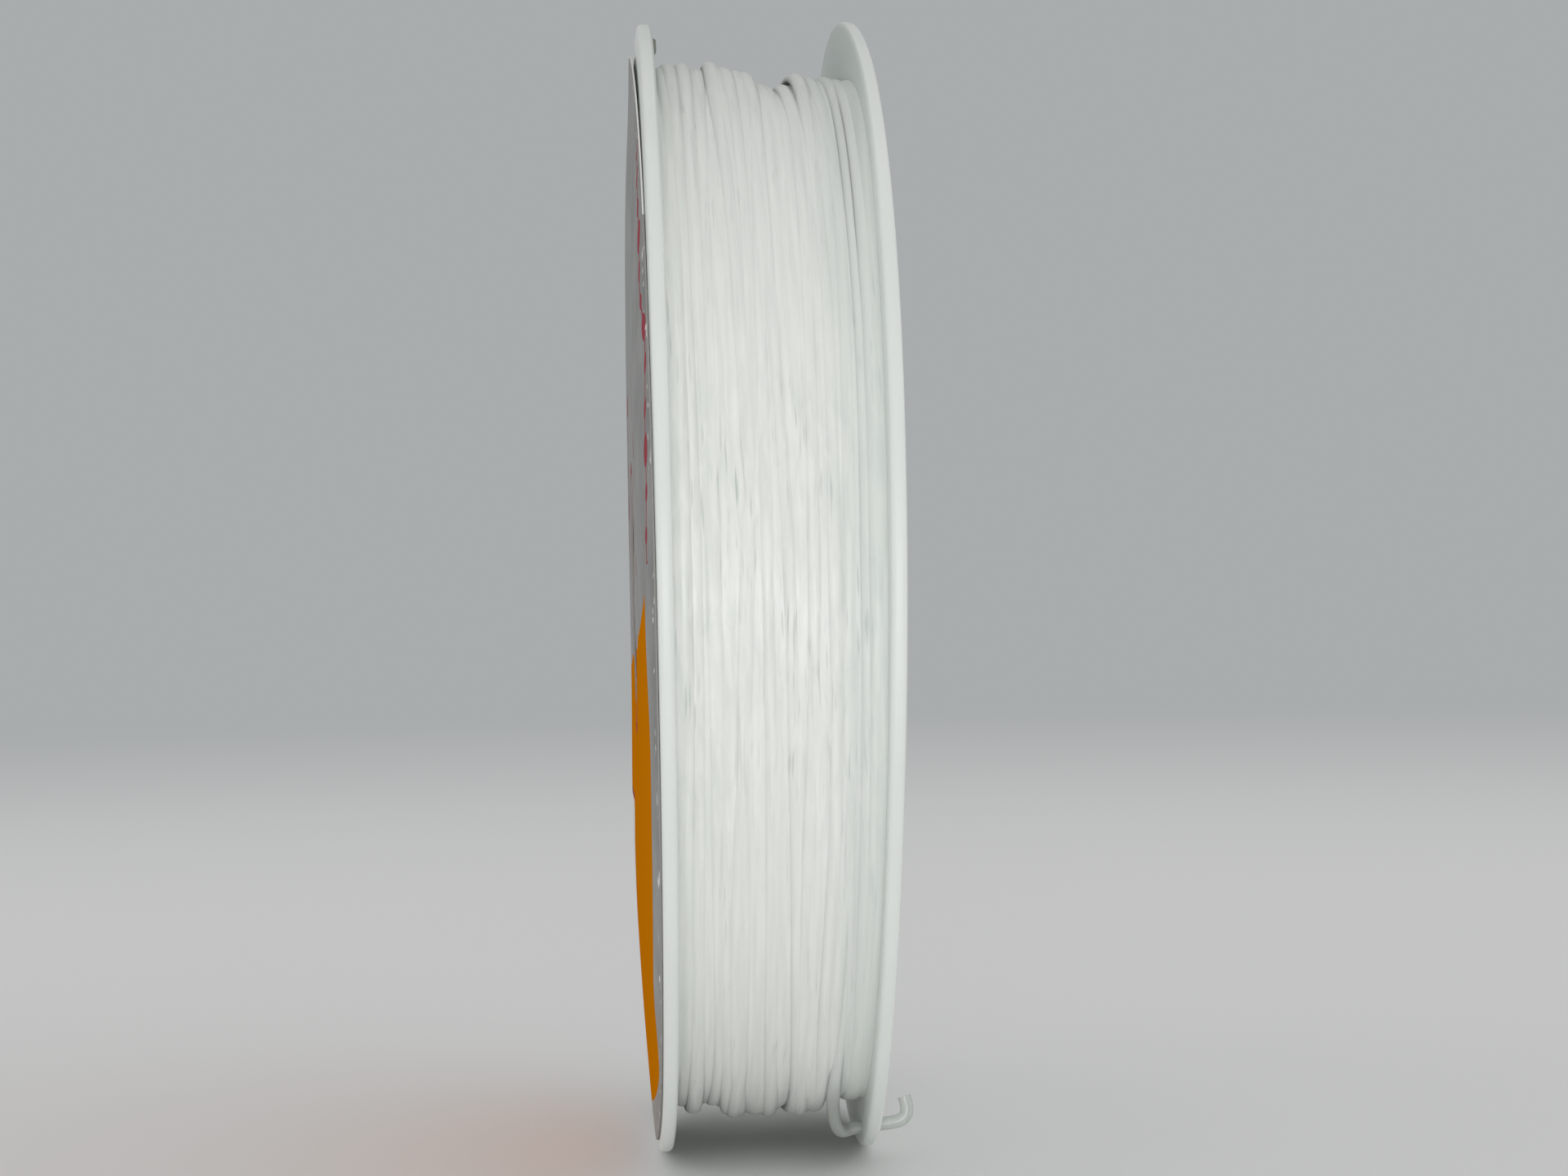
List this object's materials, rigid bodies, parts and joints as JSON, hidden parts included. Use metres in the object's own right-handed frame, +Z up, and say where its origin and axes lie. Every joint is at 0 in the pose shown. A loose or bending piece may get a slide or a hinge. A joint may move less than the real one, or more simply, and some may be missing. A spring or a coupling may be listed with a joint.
{
  "type": "spool of elastic beading cord",
  "caption": "Flat white plastic craft spool wound with clear elastic beading cord, with a foil side label and the cord's end tied off through the rim.",
  "frame": {"origin": "middle of the spindle bore", "axes": "+X along the spindle bore from the label side to the plain side, +Z up, the spool standing on its two rims, -Y towards the front"},
  "size_m": [0.0164, 0.07, 0.07],
  "materials": {
    "spool_plastic": "moulded, lightly polished white polystyrene",
    "label_foil": "printed silver foil label",
    "elastic_cord": "clear extruded elastic cord, milky where it is wound"
  },
  "bodies": {
    "root": {"label_side_half": "spool_plastic", "plain_side_half": "spool_plastic", "front_label": "label_foil", "cord_winding": "elastic_cord", "cord_free_end": "elastic_cord"}
  },
  "joints": []
}
